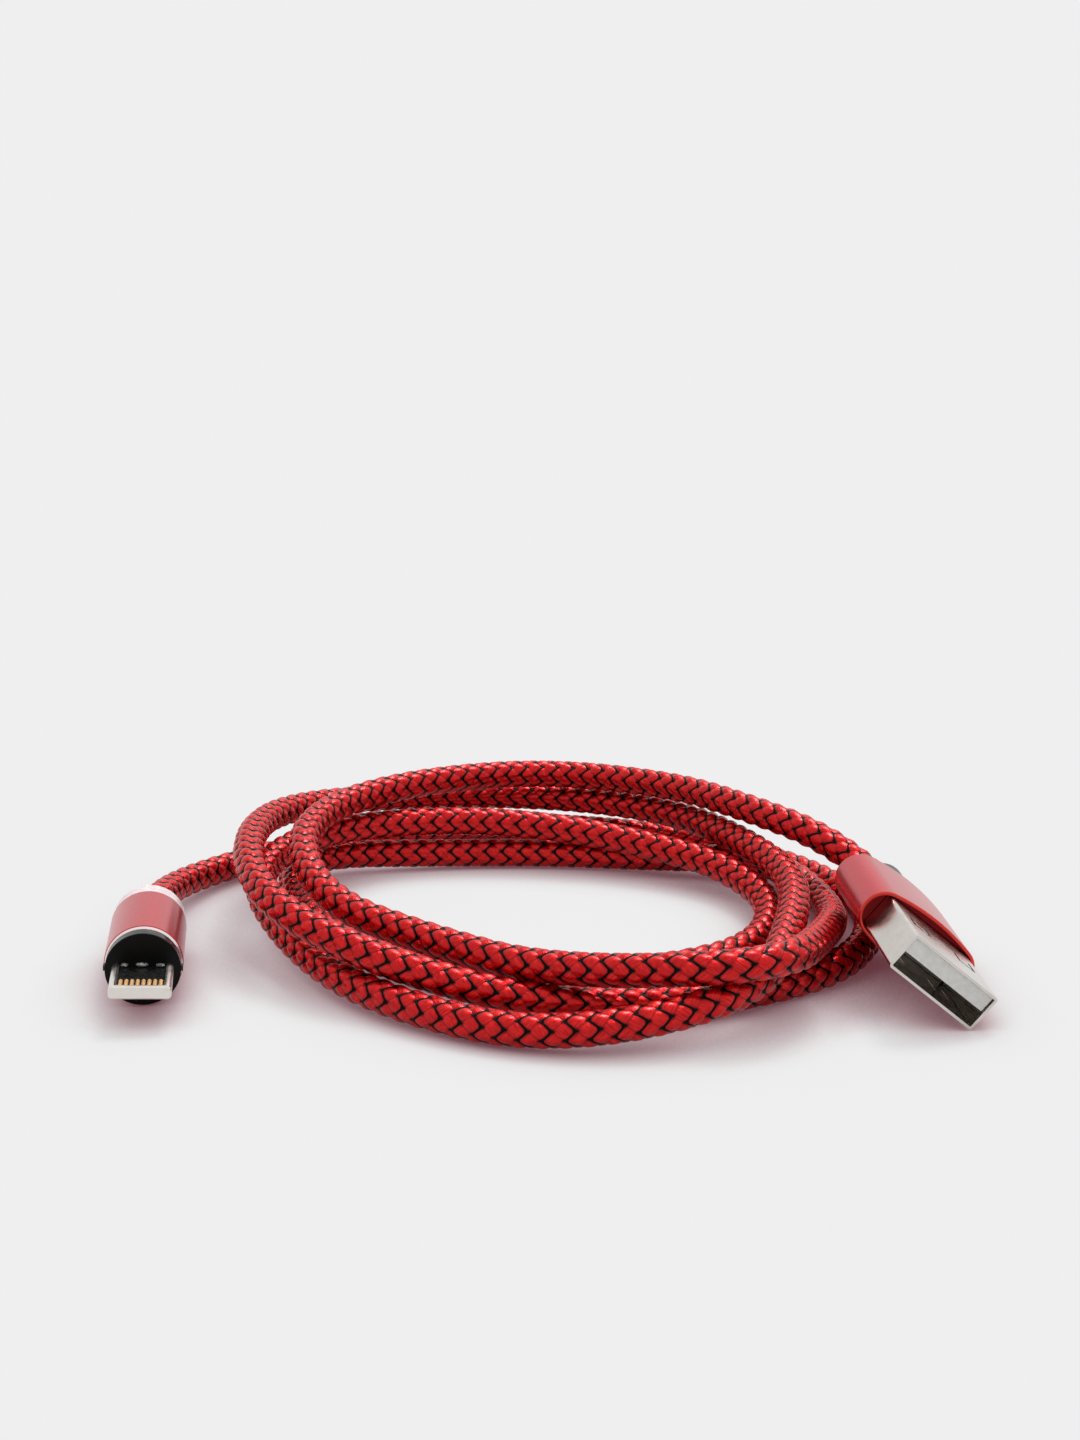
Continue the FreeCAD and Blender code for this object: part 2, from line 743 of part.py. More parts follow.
# Cord: one solid with the outer shape of the coil, higher at the back and at the left
def upright_block(name, left, front, wide, deep, corner):
    """A tall block on the table with its upright edges rounded."""
    block = bind(
        doc.addObject("Part::Box", name + "_block"),
        Length=wide,
        Width=deep,
        Height="3 * coil_height",
        Placement_at_Base_at_x=left,
        Placement_at_Base_at_y=front,
    )
    return softened(name, block, corner, lambda edge: edge.BoundBox.ZLength > 0.001)


coil_block = upright_block("coil_outside", "coil_left", "coil_front", "coil_wide", "coil_deep", "coil_round")
coil_eye = upright_block("coil_eye", "eye_left", "eye_front", "eye_wide", "eye_deep", "eye_round")
above = bind(
    doc.addObject("Part::Box", "above_coil"),
    Length="2 * coil_wide",
    Width="2 * coil_deep",
    Height="3 * coil_height",
)
lean = Rotation(Vector(0, 0, 1), Vector(number("coil_fall"), -number("coil_rise"), 1))
middle = Vector(
    number("coil_left + coil_wide / 2"),
    number("coil_front + coil_deep / 2"),
    number("coil_height"),
)
above.Placement = Placement(middle - lean.multVec(Vector(number("coil_wide"), number("coil_deep"), 0)), lean)
over_low_strand = bind(
    doc.addObject("Part::Box", "over_low_strand"),
    Length="coil_wide",
    Width="coil_deep / 2",
    Height="3 * coil_height",
    Placement_at_Base_at_x="low_strand_x",
    Placement_at_Base_at_y="coil_front",
    Placement_at_Base_at_z="low_strand_high",
)
housing_room = oval("housing_room", "housing_front - 2", "housing_long + 2.5", "0 - coil_clearance")
boss_room = rod("boss_room", housing_end, "boss_proud + 1", "boss_dia + 2 * coil_clearance")
plug_room = laid("plug_room", "plug", fuse("plug_room_all", housing_room, boss_room))
coil = cut("coil", coil_block, coil_eye, above, over_low_strand, plug_room)
keep("cord_coil", "table", coil)
keep("cord_usb_lead", "table", cut("usb_lead", tube("usb_lead_tube", usb_lead_points), coil))
keep("cord_phone_lead", "table", cut("phone_lead", tube("phone_lead_tube", phone_lead_points), coil))

# Every object is up to date, and every piece is a sound solid, before anything is written
doc.recompute()
faults = [thing.Name for thing in doc.Objects if {"Invalid", "Error"} & set(thing.State)]
for node, piece in nodes.items():
    shape = piece.Shape
    if shape.isNull() or not shape.isValid() or not shape.Solids:
        faults.append(node)
if faults:
    raise SystemExit("not sound: " + ", ".join(faults))
os.makedirs("parts", exist_ok=True)
for node, piece in nodes.items():
    piece.Shape.exportStep(f"parts/{node}.step")
    print(f"{node}: {len(piece.Shape.Solids)} solid(s), {piece.Shape.Volume:.2f} mm3")
print(len(nodes), "nodes")
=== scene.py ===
"""Looks of the magnetic charging cable, in metres, in the frame of its CAD model.

The cable lies on a table with its cord coiled up behind the two plugs: the phone plug is at the
left, the computer plug at the right. Each section below makes one piece or gives CAD nodes their
material. Places along a plug are in millimetres behind its nose, as in the CAD.
"""
from math import cos, pi, radians, sin

import bmesh
import bpy
import numpy as np
from mathutils import Matrix, Vector


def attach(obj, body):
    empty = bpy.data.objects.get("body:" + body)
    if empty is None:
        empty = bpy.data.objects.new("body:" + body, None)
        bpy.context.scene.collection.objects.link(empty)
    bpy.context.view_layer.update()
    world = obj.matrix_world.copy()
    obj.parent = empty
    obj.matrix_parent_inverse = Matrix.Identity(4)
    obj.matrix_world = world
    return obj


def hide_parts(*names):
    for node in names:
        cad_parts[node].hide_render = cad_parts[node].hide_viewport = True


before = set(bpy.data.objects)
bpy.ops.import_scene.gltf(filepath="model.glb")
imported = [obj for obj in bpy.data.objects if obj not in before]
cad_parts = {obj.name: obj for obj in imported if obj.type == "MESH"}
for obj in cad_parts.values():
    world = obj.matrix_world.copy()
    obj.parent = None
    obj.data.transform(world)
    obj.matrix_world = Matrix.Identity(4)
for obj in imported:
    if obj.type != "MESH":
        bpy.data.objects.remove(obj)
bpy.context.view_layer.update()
scene = bpy.context.scene

# Camera: a long lens, held low in front of the cable and looking a little down. Its place and
# its lens were fitted to the steel shell and the flat phone tip, which are of standard sizes.
CAMERA_PLACE = (0.00075, -0.21063, 0.0795)
CAMERA_DOWN = 13.0
SENSOR_HEIGHT = 36.0
LENS = 48.75
NEAREST_SEEN = 0.01

camera_data = bpy.data.cameras.new("camera")
camera_data.sensor_fit = "VERTICAL"
camera_data.sensor_height = SENSOR_HEIGHT
camera_data.lens = LENS
camera_data.clip_start = NEAREST_SEEN
camera = bpy.data.objects.new("camera", camera_data)
camera.location = CAMERA_PLACE
camera.rotation_euler = (radians(90.0 - CAMERA_DOWN), 0.0, 0.0)
scene.collection.objects.link(camera)
scene.camera = camera

# Cord, its route in millimetres: it leaves the computer plug, climbs onto the coil, goes round four
# times and ends on the table at the left, where it turns to the phone plug. The leads repeat the
# CAD's points, and the turns were laid strand by strand, as in the photo.
MM = 0.001
COIL_CENTRE = (2.2, 20.03)
BACK_ANGLE = 90
HOUR_ANGLE = 30
ROUTE_STEPS = 24
COMPUTER_LEAD = (
    (42.36, 7.01, 6.45),
    (41.95, 13.89, 6.69),
    (41.54, 20.77, 6.93),
    (35.85, 26.6, 9.95),
    (27.5, 35.9, 10.95),
    (19.2, 47.75, 10.7),
)
PHONE_LEAD = (
    (-14.4, 56.6, 2.06),
    (-24.4, 52.8, 2.06),
    (-32.8, 46.3, 2.08),
    (-40.8, 38.4, 2.06),
    (-45.9, 27.5, 2.9),
    (-46.43, 15.7, 4.36),
    (-45.4, 8.8, 4.36),
    (-44.51, 2.6, 4.36),
)
# Radius and height of each turn at every hour, from the back round by the left
TURNS = (
    ((38.2, 9.95), (33.4, 11.15), (32.9, 11.3), (31.7, 10.9), (30.1, 7.9), (27.2, 6.3),
     (32.7, 5.9), (47.2, 9.6), (36.5, 5.5), (35.1, 2.05), (34.7, 3.2), (25.8, 2.1)),
    ((24.5, 2.05), (28.2, 2.05), (39.5, 3.2), (32.3, 2.4), (27.0, 2.06), (24.9, 2.2),
     (25.4, 2.6), (26.8, 2.7), (27.7, 2.05), (27.9, 2.8), (25.5, 4.1), (23.0, 4.9)),
    ((23.4, 6.2), (29.2, 6.55), (36.0, 7.1), (37.6, 6.7), (34.7, 3.3), (37.1, 2.3),
     (42.4, 2.05), (43.6, 5.4), (32.2, 6.1), (30.1, 6.4), (28.7, 7.0), (33.8, 6.6)),
    ((39.3, 6.15), (44.3, 6.3), (42.2, 9.4), (38.2, 10.8), (37.9, 9.0), (35.2, 5.8),
     (33.0, 2.1), (35.7, 2.07), (40.0, 2.06), (40.5, 2.06), (37.8, 2.06), (36.6, 2.06)),
    ((37.9, 2.06),),
)


def coil_points():
    """The coil's turns, hour by hour."""
    stations = [station for turn in TURNS for station in turn]
    for hour, (radius, height) in enumerate(stations):
        angle = radians(BACK_ANGLE + HOUR_ANGLE * hour)
        yield (COIL_CENTRE[0] + radius * cos(angle), COIL_CENTRE[1] + radius * sin(angle), height)


cord_route = [*COMPUTER_LEAD, *coil_points(), *PHONE_LEAD]
route_data = bpy.data.curves.new("cord_route", "CURVE")
route_data.dimensions = "3D"
route_data.resolution_u = ROUTE_STEPS
spline = route_data.splines.new("NURBS")
spline.points.add(len(cord_route) - 1)
for point, place in zip(spline.points, cord_route):
    point.co = (*(Vector(place) * MM), 1.0)
spline.order_u = 3
spline.use_endpoint_u = True
route_curve = bpy.data.objects.new("cord_route", route_data)
scene.collection.objects.link(route_curve)
bpy.context.view_layer.update()
evaluated_route = route_curve.evaluated_get(bpy.context.evaluated_depsgraph_get())
route_mesh = bpy.data.meshes.new_from_object(evaluated_route)
cord_path = [vertex.co.copy() for vertex in route_mesh.vertices]
bpy.data.objects.remove(route_curve)

# Cord, its braid: flat strands of satin red yarn cross in diamonds, five round the cord and five
# more between them. Glossy black threads run round it in zigzags, laid in along the diamonds'
# edges. Both ends are crimped and cast into their plugs.
BRAID_COLUMNS = 10
BRAID_PITCH = 2.4
BRAID_START = 0.75
DIAMOND_STEPS = 4
GROOVE_RADIUS = 1.73
DIAMOND_RISE = 0.21
DIAMOND_FULLNESS = 0.7
PIT_DEPTH = 0.08
PIT_NARROWNESS = 4
THREAD_HALF = 0.083
THREAD_HALF_AT_CORNER = 0.155
FIBRES_ACROSS = 15.0
FIBRES_LENGTHWISE = 2.0
BRAID_LUMPS = 0.6
YARN_SATIN = 0.68
YARN_COAT = 0.24
YARN_DEEP = (0.40, 0.003, 0.006)
YARN_BRIGHT = (0.80, 0.019, 0.017)
YARN_WORN = (0.48, 0.004, 0.010)
YARN_CREASE_SHADE = (0.12, 0.001, 0.002)
YARN_PIT_SHADE = (0.06, 0.0006, 0.001)
THREAD_BLACK = (0.0022, 0.0015, 0.0015)


class Value:
    """An output socket with arithmetic, so that shader maths reads like maths."""

    def __init__(self, look, socket):
        self.look = look
        self.socket = socket

    def math(self, operation, other=None):
        return Value(self.look, self.look.node("Math", self, other, operation=operation).outputs[0])

    def __add__(self, other):
        return self.math("ADD", other)

    def __sub__(self, other):
        return self.math("SUBTRACT", other)

    def __mul__(self, other):
        return self.math("MULTIPLY", other)

    def __truediv__(self, other):
        return self.math("DIVIDE", other)

    __radd__ = __add__
    __rmul__ = __mul__

    def __rsub__(self, other):
        return (self * -1.0) + other

    def abs(self):
        return self.math("ABSOLUTE")

    def fract(self):
        return self.math("FRACT")

    def floor(self):
        return self.math("FLOOR")

    def wave(self):
        """One where the value is whole, minus one half way between."""
        return (self * (2.0 * pi)).math("COSINE")

    def step(self, low, high, new_low=0.0, new_high=1.0):
        """A smooth climb from one value to another."""
        node = self.look.node(
            "MapRange", self, low, high, new_low, new_high, interpolation_type="SMOOTHSTEP"
        )
        return Value(self.look, node.outputs[0])

    def spread(self, new_low=0.0, new_high=1.0):
        """Noise, which keeps near one half, spread over a whole range."""
        return self.step(0.3, 0.7, new_low, new_high)


class Nodes:
    """A node tree in the making."""

    def __init__(self, tree):
        self.tree = tree

    def node(self, kind, *inputs, **settings):
        node = self.tree.nodes.new("ShaderNode" + kind)
        for name, setting in settings.items():
            setattr(node, name, setting)
        for socket, given in zip(node.inputs, inputs):
            self.feed(socket, given)
        return node

    def feed(self, socket, given):
        if given is None:
            return
        if isinstance(given, Value):
            self.tree.links.new(given.socket, socket)
        elif isinstance(given, bpy.types.NodeSocket):
            self.tree.links.new(given, socket)
        elif socket.type == "RGBA":
            socket.default_value = (*given, 1.0)
        else:
            socket.default_value = given


class Look(Nodes):
    """A material in the making."""

    def __init__(self, name):
        self.material = bpy.data.materials.new(name)
        self.material.use_nodes = True
        super().__init__(self.material.node_tree)
        self.shader = self.tree.nodes["Principled BSDF"]

    def set(self, **inputs):
        for name, given in inputs.items():
            self.feed(self.shader.inputs[name.replace("_", " ")], given)

    def place(self):
        """Object coordinates in millimetres."""
        scaled = self.node("VectorMath", self.node("TexCoord").outputs["Object"], operation="SCALE")
        scaled.inputs["Scale"].default_value = 1.0 / MM
        return scaled.outputs[0]

    def along(self, nose, axis):
        """How far a point lies behind a plug's nose, in millimetres."""
        dot = self.node("VectorMath", self.place(), axis, operation="DOT_PRODUCT")
        return Value(self, dot.outputs["Value"]) - Vector(nose).dot(axis)

    def noise(self, where, scale, detail=2.0, stretch=None):
        """Noise about one half, with `scale` lumps to a unit."""
        if stretch:
            where = self.node("Mapping", where, None, None, stretch).outputs[0]
        node = self.node("TexNoise", where)
        node.inputs["Scale"].default_value = scale
        node.inputs["Detail"].default_value = detail
        return Value(self, node.outputs["Fac"])

    def mix(self, share, first, second):
        """A colour between two others."""
        node = self.node("Mix", share, data_type="RGBA")
        self.feed(node.inputs[6], first)
        self.feed(node.inputs[7], second)
        return node.outputs[2]

    def bump(self, height, distance, strength):
        node = self.node("Bump")
        node.inputs["Strength"].default_value = strength
        node.inputs["Distance"].default_value = distance
        self.feed(node.inputs["Height"], height)
        self.feed(self.shader.inputs["Normal"], node.outputs[0])


class Path:
    """A line through points, with a frame that doesn't twist round it."""

    def __init__(self, points):
        self.points = np.array([tuple(point) for point in points]) / MM
        steps = np.diff(self.points, axis=0)
        self.along = np.concatenate([[0.0], np.cumsum(np.linalg.norm(steps, axis=1))])
        tangents = np.gradient(self.points, self.along, axis=0)
        tangents /= np.linalg.norm(tangents, axis=1)[:, None]
        up = np.array([0.0, 0.0, 1.0])
        ups = []
        for tangent in tangents:
            up = up - tangent * up.dot(tangent)
            up /= np.linalg.norm(up)
            ups.append(up)
        self.ups = np.array(ups)
        self.sides = np.cross(tangents, self.ups)
        self.length = self.along[-1]

    def at(self, along, angle, radius):
        """Points this far along, this way round and this far out."""
        along = np.clip(along, 0.0, self.length)
        middle, up, side = (
            np.stack([np.interp(along, self.along, line[:, axis]) for axis in range(3)], axis=-1)
            for line in (self.points, self.ups, self.sides)
        )
        out = up * np.cos(angle)[..., None] + side * np.sin(angle)[..., None]
        return middle + out * radius[..., None]


def braid_look():
    """Satin red yarns in diamonds, with glossy black threads along half of their edges."""
    look = Look("red_braid")
    uv = look.node("SeparateXYZ", look.node("UVMap").outputs[0])
    column = Value(look, uv.outputs[0])
    along = Value(look, uv.outputs[1])
    # How near a point lies to a thread, to a seam between yarns and to a diamond's corner
    zigzag = ((column * 0.5).fract() * 2.0 - 1.0).abs() - 0.5
    from_thread = ((along - zigzag * 0.5).fract() - 0.5).abs() * -1.0 + 0.5
    from_seam = ((along + zigzag * 0.5 - 0.5).fract() - 0.5).abs() * -1.0 + 0.5
    from_corner = ((column + 0.5).fract() - 0.5).abs()
    thread_half = from_corner.step(0.0, 0.18, THREAD_HALF_AT_CORNER, THREAD_HALF)
    thread = 1.0 - (from_thread / thread_half).step(0.8, 1.1)
    # Fibres that run lengthwise in each diamond, which leans left or right in turn
    rising = along + column * 0.5 - 0.25
    falling = along - column * 0.5 - 0.25
    lies_left = ((rising.floor() + falling.floor()) * 0.5).fract() * 2.0
    across = falling + (rising - falling) * lies_left
    lengthwise = rising + (falling - rising) * lies_left
    own_fibres = rising.floor() * 7.1 + falling.floor() * 3.3
    strand = look.node(
        "CombineXYZ", across * FIBRES_ACROSS, lengthwise * FIBRES_LENGTHWISE, own_fibres
    )
    fibres = look.noise(strand.outputs[0], 1.0, 3.0)
    lumps = look.noise(look.place(), BRAID_LUMPS)
    pit = (rising.wave() + 1.0) * (falling.wave() + 1.0) * 0.25
    red = look.mix(fibres.spread(), YARN_DEEP, YARN_BRIGHT)
    red = look.mix(lumps.step(0.35, 0.65, 0.0, 0.35), red, YARN_WORN)
    # Painted shade: darker red in the seams between yarns, beside the threads and in the pits at
    # the diamonds' corners.
    red = look.mix(from_seam.step(0.0, 0.07, 0.55, 0.0), red, YARN_CREASE_SHADE)
    red = look.mix(from_thread.step(0.07, 0.24, 0.5, 0.0), red, YARN_CREASE_SHADE)
    red = look.mix(pit.step(0.35, 0.95, 0.0, 0.8), red, YARN_PIT_SHADE)
    look.set(
        Base_Color=look.mix(thread, red, THREAD_BLACK),
        Roughness=thread.step(0.0, 1.0, 0.27, 0.35),
        Metallic=thread.step(0.0, 1.0, YARN_SATIN, 0.0),
        Specular_IOR_Level=0.06,
        Coat_Weight=thread.step(0.0, 1.0, YARN_COAT, 0.0),
        Coat_Roughness=0.25,
        Coat_Tint=(1.0, 0.8, 0.75),
    )
    look.bump(fibres * 0.5 + from_thread.step(0.0, 0.12, 0.6, 0.0), 0.1 * MM, 0.9)
    return look.material


# The mesh is a grid of diamonds: every second row of points is half a step further round
cord_line = Path(cord_path)
rows_a_pitch = 2 * DIAMOND_STEPS
ring = BRAID_COLUMNS * DIAMOND_STEPS // 2
row = np.arange(rows_a_pitch * (int(cord_line.length / BRAID_PITCH) + 2))[:, None]
turn = 2 * np.arange(ring)[None, :] + row % 2
slopes = [pi * (row + way * turn) / rows_a_pitch for way in (-1, 1)]
pillow = np.abs(np.sin(slopes[0]) * np.sin(slopes[1])) ** DIAMOND_FULLNESS
pit = (np.cos(slopes[0]) * np.cos(slopes[1])) ** PIT_NARROWNESS
pitches = row / rows_a_pitch - BRAID_START
points = cord_line.at(
    np.broadcast_to(pitches * BRAID_PITCH, turn.shape),
    turn * pi / ring,
    GROOVE_RADIUS + DIAMOND_RISE * pillow - PIT_DEPTH * pit,
)
first = row[:-2]
near = np.arange(ring)
# Each face's corners: rows up, place in that row's ring, and half steps aside
corners = (
    (0, near, 0),
    (1, (near + first % 2) % ring, 1),
    (2, near, 0),
    (1, (near + first % 2 - 1) % ring, -1),
)
faces = np.stack([(first + up) * ring + place for up, place, _ in corners], axis=-1).reshape(-1, 4)
cord_mesh = bpy.data.meshes.new("cord")
cord_mesh.vertices.add(points.size // 3)
cord_mesh.vertices.foreach_set("co", (points * MM).astype(np.float32).ravel())
cord_mesh.loops.add(faces.size)
cord_mesh.loops.foreach_set("vertex_index", faces.astype(np.int32).ravel())
cord_mesh.polygons.add(len(faces))
cord_mesh.polygons.foreach_set("loop_start", np.arange(0, faces.size, 4, dtype=np.int32))
cord_mesh.update(calc_edges=True)
cord_mesh.validate()
cord_mesh.polygons.foreach_set("use_smooth", np.ones(len(faces), dtype=bool))
cord_mesh.materials.append(braid_look())

# The yarns' edges stay sharp, and the look reads the column and the pitches along as its map
ends = np.empty(2 * len(cord_mesh.edges), dtype=np.int32)
cord_mesh.edges.foreach_get("vertices", ends)
end_row, end_place = np.divmod(ends.reshape(-1, 2), ring)
end_turn = 2 * end_place + end_row % 2
on_rising, on_falling = (
    ((end_row + way * end_turn) // 2 % DIAMOND_STEPS == 0).all(axis=1) for way in (1, -1)
)
sharp = cord_mesh.attributes.new("sharp_edge", "BOOLEAN", "EDGE")
sharp.data.foreach_set("value", on_rising | on_falling)
corner_uv = np.stack(
    [
        np.stack(
            np.broadcast_arrays(
                (turn[:-2] + aside) / DIAMOND_STEPS, pitches[:-2] + up / rows_a_pitch
            ),
            axis=-1,
        )
        for up, _, aside in corners
    ],
    axis=2,
)
braid_map = cord_mesh.uv_layers.new(name="braid")
braid_map.data.foreach_set("uv", corner_uv.astype(np.float32).ravel())
cord = bpy.data.objects.new("cord", cord_mesh)
scene.collection.objects.link(cord)
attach(cord, "cable")
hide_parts("cord_coil", "cord_usb_lead", "cord_phone_lead")

# Computer plug, its housing: an oval tube of drawn aluminium, anodised a satin red, with a lighter
# red line painted round its cut rim as its highlight. The collar inside is of the same red, painted
# much darker for the shade inside the housing, and is pressed in to hold the shell. The nose lies
# in the middle of the shell's mouth, and the axis runs back from it.
PLUG_NOSE = (43.67, -15.04, 5.68)
PLUG_AXIS = (-0.0593, 0.9976, 0.0349)
HOUSING_RIM = 11.72
RIM_HIGHLIGHT_RED = (0.66, 0.030, 0.018)
ANODISED_DARK = (0.50, 0.011, 0.024)
ANODISED_LIGHT = (0.54, 0.013, 0.027)
ANODISED_COAT = 0.45
COLLAR_SHADED_DARK = (0.17, 0.003, 0.005)
COLLAR_SHADED_LIGHT = (0.24, 0.004, 0.007)


def dress(material, *nodes):
    """Give CAD nodes their material."""
    for node in nodes:
        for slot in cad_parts[node].material_slots:
            slot.material = material


def red_metal(name, nose, axis, mouth, mouth_colour, mouth_coat):
    """Satin red anodised aluminium under a clear sheen, with another colour at the cut mouth."""
    look = Look(name)
    grain = look.noise(look.place(), 9.0, 3.0)
    draw = look.noise(look.place(), 7.0, 2.0, (1.0, 0.08, 1.0))
    at_mouth = 1.0 - look.along(nose, axis).step(mouth - 0.01, mouth + 0.01)
    red = look.mix(draw.spread(), ANODISED_DARK, ANODISED_LIGHT)
    look.set(
        Base_Color=look.mix(at_mouth, red, mouth_colour),
        Metallic=0.85,
        Roughness=grain.spread(0.27, 0.31) - at_mouth * 0.04,
        Coat_Weight=ANODISED_COAT - at_mouth * (ANODISED_COAT - mouth_coat),
        Coat_Roughness=0.25,
    )
    look.bump(grain, 0.003 * MM, 0.4)
    return look.material


# The rim's lighter red is a painted highlight along the housing's cut edge.
dress(
    red_metal("housing_red", PLUG_NOSE, PLUG_AXIS, HOUSING_RIM, RIM_HIGHLIGHT_RED, ANODISED_COAT),
    "usb_housing",
)
# The collar is painted a much darker red than the housing, for the shade inside it.
collar_look = Look("collar_red")
collar_grain = collar_look.noise(collar_look.place(), 6.0, 3.0)
collar_look.set(
    Base_Color=collar_look.mix(collar_grain, COLLAR_SHADED_DARK, COLLAR_SHADED_LIGHT),
    Metallic=0.8,
    Roughness=0.45,
)
dress(collar_look.material, "usb_collar")

# Computer plug, its shell: steel sheet, folded to a box and plated with nickel, a little stained
# by use. In it stands the moulded pale tongue, with four gold plated blades let into its face.
SHELL_DARK = (0.60, 0.565, 0.52)
SHELL_LIGHT = (0.70, 0.665, 0.625)
TONGUE_DARK = (0.74, 0.725, 0.70)
TONGUE_LIGHT = (0.82, 0.80, 0.77)


def plated(name, dark, light, roughness, stretch=(1.0, 0.12, 1.0), scale=5.0):
    """Plated or brushed metal, a little stained and worn."""
    look = Look(name)
    brushed = look.noise(look.place(), scale, 3.0, stretch)
    stains = look.noise(look.place(), 0.7, 4.0)
    look.set(
        Base_Color=look.mix((brushed * 0.35 + stains * 0.65).step(0.25, 0.75), dark, light),
        Metallic=1.0,
        Roughness=stains.spread(roughness - 0.03, roughness + 0.05),
    )
    look.bump(brushed, 0.0012 * MM, 0.4)
    return look.material


dress(plated("shell_steel", SHELL_DARK, SHELL_LIGHT, 0.21), "usb_shell")
tongue_look = Look("tongue_plastic")
tongue_grain = tongue_look.noise(tongue_look.place(), 1.5, 4.0)
tongue_look.set(
    Base_Color=tongue_look.mix(tongue_grain.spread(), TONGUE_DARK, TONGUE_LIGHT),
    Roughness=0.35,
    Specular_IOR_Level=0.4,
)
tongue_look.bump(tongue_grain, 0.006 * MM, 0.4)
dress(tongue_look.material, "usb_tongue")
gold = plated("gold", (0.72, 0.42, 0.16), (0.90, 0.60, 0.28), 0.28)
dress(
    gold, "usb_contact_power", "usb_contact_data_minus", "usb_contact_data_plus",
    "usb_contact_ground",
)


# Computer plug, its rear: a black plastic bung closes the housing, with a round boss that the
# cord comes out of. Hidden in front of it are the cord's brass crimp, two wires and the white
# mould that is cast round them.
def plastic(name, dark, light, low, high):
    """Moulded plastic with a faint grain."""
    look = Look(name)
    grain = look.noise(look.place(), 3.0, 4.0)
    look.set(
        Base_Color=look.mix(grain.spread(), dark, light),
        Specular_IOR_Level=0.5,
        Roughness=grain.spread(low, high),
    )
    look.bump(grain, 0.002 * MM, 0.4)
    return look.material


bung_black = plastic("bung_black", (0.030, 0.031, 0.034), (0.050, 0.051, 0.054), 0.38, 0.5)
mould_white = plastic("mould_white", (0.60, 0.59, 0.56), (0.70, 0.69, 0.66), 0.5, 0.65)
brass = plated("brass", (0.50, 0.32, 0.12), (0.66, 0.46, 0.20), 0.35)
wire_red = plastic("wire_red", (0.40, 0.010, 0.012), (0.55, 0.016, 0.018), 0.4, 0.5)
wire_black = plastic("wire_black", (0.010, 0.010, 0.010), (0.020, 0.020, 0.020), 0.4, 0.5)
dress(bung_black, "usb_rear_bung")
dress(mould_white, "usb_inner_mould")
dress(brass, "usb_crimp")
dress(wire_red, "usb_wire_power")
dress(wire_black, "usb_wire_ground")

# Magnetic head: a round sleeve of the same red aluminium, turned bright and bare at its mouth,
# with a milky clear ring behind it that its light shines through. Inside are a ring magnet,
# a ring contact, the sprung gold pin in its brass barrel, a small board and the black mould.
HEAD_NOSE = (-41.94, -14.61, 4.36)
HEAD_AXIS = (-0.1478, 0.9890, 0.0)
SLEEVE_MOUTH = 9.36
BARE_METAL = (0.86, 0.82, 0.80)
GLOW_DARK = (0.58, 0.47, 0.49)
GLOW_LIGHT = (0.68, 0.60, 0.61)

dress(red_metal("sleeve_red", HEAD_NOSE, HEAD_AXIS, SLEEVE_MOUTH, BARE_METAL, 0.0), "head_sleeve")
glow_look = Look("glow_ring")
glow_cloud = glow_look.noise(glow_look.place(), 1.2, 3.0)
glow_look.set(
    Base_Color=glow_look.mix(glow_cloud.spread(), GLOW_DARK, GLOW_LIGHT),
    Roughness=0.3,
    Subsurface_Weight=0.4,
    Subsurface_Radius=(1.0, 0.6, 0.6),
    Subsurface_Scale=MM,
)
dress(glow_look.material, "head_glow_ring")
magnet_nickel = plated("magnet_nickel", (0.42, 0.42, 0.43), (0.56, 0.56, 0.57), 0.2)
head_black = plastic("head_black", (0.010, 0.010, 0.011), (0.018, 0.018, 0.019), 0.35, 0.5)
board_green = plastic("board_green", (0.010, 0.10, 0.045), (0.016, 0.14, 0.06), 0.3, 0.4)
light_clear = plastic("light_clear", (0.75, 0.74, 0.70), (0.85, 0.84, 0.80), 0.15, 0.25)
dress(magnet_nickel, "head_magnet")
dress(brass, "head_crimp", "head_pin_barrel", "head_ring_contact")
dress(gold, "head_centre_pin")
dress(wire_red, "head_wire_power")
dress(wire_black, "head_wire_ground")
dress(head_black, "head_core", "head_inner_mould")
dress(board_green, "head_board")
dress(light_clear, "head_light")

# Phone tip: a flat plated frame with a window, where a black carrier is moulded with eight gold
# pads on each face. It stands on a black disc with a dark metal edge, and the polished ring
# behind the disc is what the magnet holds.
DISC_RIM = (7.5, 7.55)
DISC_FRONT = (0.0025, 0.0025, 0.0025)
DISC_EDGE = (0.035, 0.032, 0.03)
PAD_DARK = (0.52, 0.29, 0.11)
PAD_LIGHT = (0.64, 0.39, 0.17)

tip_metal = plated(
    "tip_metal", (0.75, 0.70, 0.66), (0.82, 0.77, 0.73), 0.3, stretch=(1.0, 1.0, 1.0), scale=1.5
)
ring_steel = plated("ring_steel", (0.07, 0.065, 0.06), (0.11, 0.105, 0.10), 0.18)
carrier_black = plastic("carrier_black", (0.005, 0.005, 0.005), (0.010, 0.010, 0.010), 0.2, 0.3)
disc_look = Look("disc_black")
disc_grain = disc_look.noise(disc_look.place(), 3.0, 3.0)
at_rim = disc_look.along(HEAD_NOSE, HEAD_AXIS).step(*DISC_RIM)
disc_look.set(
    Base_Color=disc_look.mix(at_rim, DISC_FRONT, DISC_EDGE),
    Metallic=at_rim * 0.8,
    Specular_IOR_Level=0.12,
    Roughness=disc_grain.spread(0.3, 0.4) - at_rim * 0.15,
)
disc_look.bump(disc_grain, 0.01 * MM, 0.4)
pad_look = Look("gold_pads")
pad_wear = pad_look.noise(pad_look.place(), 4.0, 3.0)
pad_look.set(
    Base_Color=pad_look.mix(pad_wear.spread(), PAD_DARK, PAD_LIGHT),
    Metallic=0.35,
    Roughness=pad_wear.spread(0.4, 0.5),
)
dress(tip_metal, "tip_frame")
dress(ring_steel, "tip_armature")
